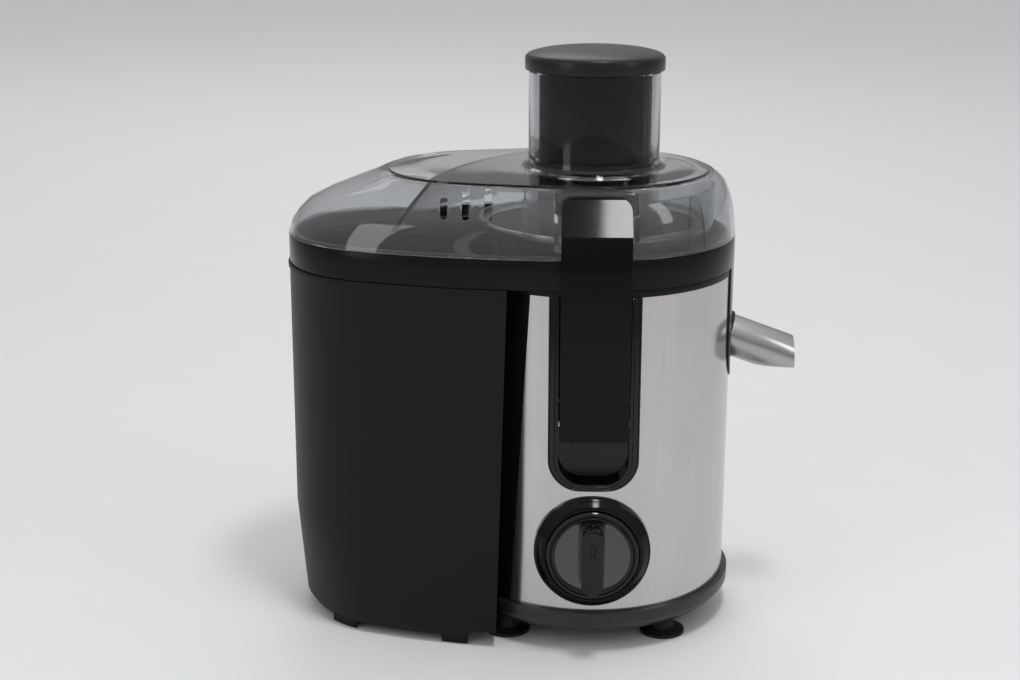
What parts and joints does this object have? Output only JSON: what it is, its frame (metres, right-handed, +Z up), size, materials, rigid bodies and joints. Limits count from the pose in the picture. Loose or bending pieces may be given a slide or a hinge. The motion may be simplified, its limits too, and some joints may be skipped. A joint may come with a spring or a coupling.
{
  "type": "centrifugal juice extractor",
  "caption": "Countertop juice extractor: steel-wrapped motor base, juice bowl with spout, mesh basket, clear lid with a wide feed chute, pusher, latch arms and side pulp bin.",
  "frame": {"origin": "middle of the footprint's bounding box, on the table under the feet", "axes": "+Z up; -Y towards the user, on the knob's side; +X towards the spout; the pulp bin is on the -X side"},
  "size_m": [0.2752, 0.1746, 0.3115],
  "materials": {
    "housing_black": "satin black moulding",
    "wrap_steel": "vertical brushed",
    "cover_black": "satin black moulding",
    "screw_steel": "zinc plated",
    "foot_rubber": "matte soft rubber",
    "recess_gloss": "gloss black",
    "pin_steel": "bright turned",
    "latch_gloss": "piano black",
    "switch_grey": "moulded casing",
    "plunger_red": "moulded",
    "bezel_gloss": "gloss black",
    "nut_steel": "nickel plated",
    "shaft_steel": "ground",
    "knob_gloss": "gloss black",
    "gland_black": "matte",
    "lamination": "varnished sheet stack",
    "coil_copper": "enamelled copper wire",
    "bracket_alu": "die cast",
    "bearing_steel": "ground",
    "mount_rubber": "matte",
    "brush_brass": "pressed sheet",
    "brush_carbon": "pressed carbon",
    "seal_rubber": "matte",
    "armature_brown": "varnished windings",
    "commutator_copper": "turned copper",
    "fan_plastic": "moulded nylon",
    "coupling_plastic": "moulded nylon",
    "collector_black": "satin gloss black",
    "spout_steel": "fine brushed",
    "basket_black": "moulded",
    "mesh_steel": "fine etched mesh",
    "rim_steel": "rolled bright rim",
    "grater_steel": "bright pressed teeth",
    "lid_clear": "clear, faintly smoked",
    "pusher_gloss": "gloss black",
    "cap_satin": "satin black",
    "bin_charcoal": "fine matte charcoal"
  },
  "bodies": {
    "base": {"motor_housing": "housing_black", "steel_wrap": "wrap_steel", "base_cover": "cover_black", "cover_screws": "screw_steel", "foot_front_left": "foot_rubber", "foot_front_right": "foot_rubber", "foot_back_left": "foot_rubber", "foot_back_right": "foot_rubber", "recess_front": "recess_gloss", "recess_back": "recess_gloss", "latch_pin_front": "pin_steel", "latch_pin_back": "pin_steel", "interlock_switch": "switch_grey", "knob_bezel": "bezel_gloss", "rotary_switch": "switch_grey", "switch_nut": "nut_steel", "cord_gland": "gland_black", "stator": "lamination", "field_coils": "coil_copper", "upper_bracket": "bracket_alu", "lower_bracket": "bracket_alu", "upper_bearing": "bearing_steel", "lower_bearing": "bearing_steel", "stator_bolts": "screw_steel", "motor_mounts": "mount_rubber", "motor_screws": "screw_steel", "brush_holder_left": "brush_brass", "brush_holder_right": "brush_brass", "carbon_brush_left": "brush_carbon", "carbon_brush_right": "brush_carbon", "shaft_seal": "seal_rubber"},
    "rotor": {"motor_shaft": "shaft_steel", "armature": "armature_brown", "commutator": "commutator_copper", "cooling_fan": "fan_plastic", "drive_coupling": "coupling_plastic"},
    "basket": {"basket_frame": "basket_black", "filter_mesh": "mesh_steel", "basket_rim": "rim_steel", "grater_disc": "grater_steel", "grater_screws": "screw_steel"},
    "collector": {"juice_collector": "collector_black", "spout": "spout_steel", "spout_seal": "seal_rubber"},
    "lid": {"lid": "lid_clear"},
    "pusher": {"pusher_body": "pusher_gloss", "pusher_cap": "cap_satin"},
    "front_latch": {"latch_front": "latch_gloss"},
    "back_latch": {"latch_back": "latch_gloss"},
    "plunger": {"interlock_plunger": "plunger_red"},
    "bin": {"pulp_bin": "bin_charcoal"},
    "dial": {"knob": "knob_gloss", "switch_shaft": "shaft_steel"}
  },
  "joints": [
    {"name": "lid_lift", "type": "slide", "parent": "base", "child": "lid", "axis": [0, 0, 1], "range_m": [0, 0.16]},
    {"name": "collector_lift", "type": "slide", "parent": "base", "child": "collector", "axis": [0, 0, 1], "range_m": [0, 0.06]},
    {"name": "rotor_spin", "type": "hinge", "parent": "base", "child": "rotor", "pos_m": [0.02715, 0.0053, 0], "axis": [0, 0, 1], "continuous": true},
    {"name": "basket_lift", "type": "slide", "parent": "rotor", "child": "basket", "axis": [0, 0, 1], "range_m": [0, 0.116]},
    {"name": "front_latch_swing", "type": "hinge", "parent": "base", "child": "front_latch", "pos_m": [0.02715, -0.0647, 0.1255], "axis": [1, 0, 0], "range_deg": [0, 90]},
    {"name": "back_latch_swing", "type": "hinge", "parent": "base", "child": "back_latch", "pos_m": [0.02715, 0.0753, 0.1255], "axis": [-1, 0, 0], "range_deg": [0, 90]},
    {"name": "interlock_press", "type": "slide", "parent": "base", "child": "plunger", "axis": [0, -1, 0], "range_m": [0, 0.003]},
    {"name": "pusher_slide", "type": "slide", "parent": "lid", "child": "pusher", "axis": [0, 0, 1], "range_m": [0, 0.13]},
    {"name": "bin_slide", "type": "slide", "parent": "base", "child": "bin", "axis": [-1, 0, 0], "range_m": [0, 0.12]},
    {"name": "knob_turn", "type": "hinge", "parent": "base", "child": "dial", "pos_m": [0.02715, -0.0747, 0.0572], "axis": [0, 1, 0], "range_deg": [-45, 90]}
  ],
  "couplings": [
    {"joint": "collector_lift", "follows": "lid_lift", "ratio": 0.375},
    {"joint": "basket_lift", "follows": "lid_lift", "ratio": 0.72},
    {"joint": "front_latch_swing", "follows": "lid_lift", "rad_per_m": 9.8174},
    {"joint": "back_latch_swing", "follows": "lid_lift", "rad_per_m": 9.8174},
    {"joint": "interlock_press", "follows": "lid_lift", "ratio": 0.01875}
  ]
}
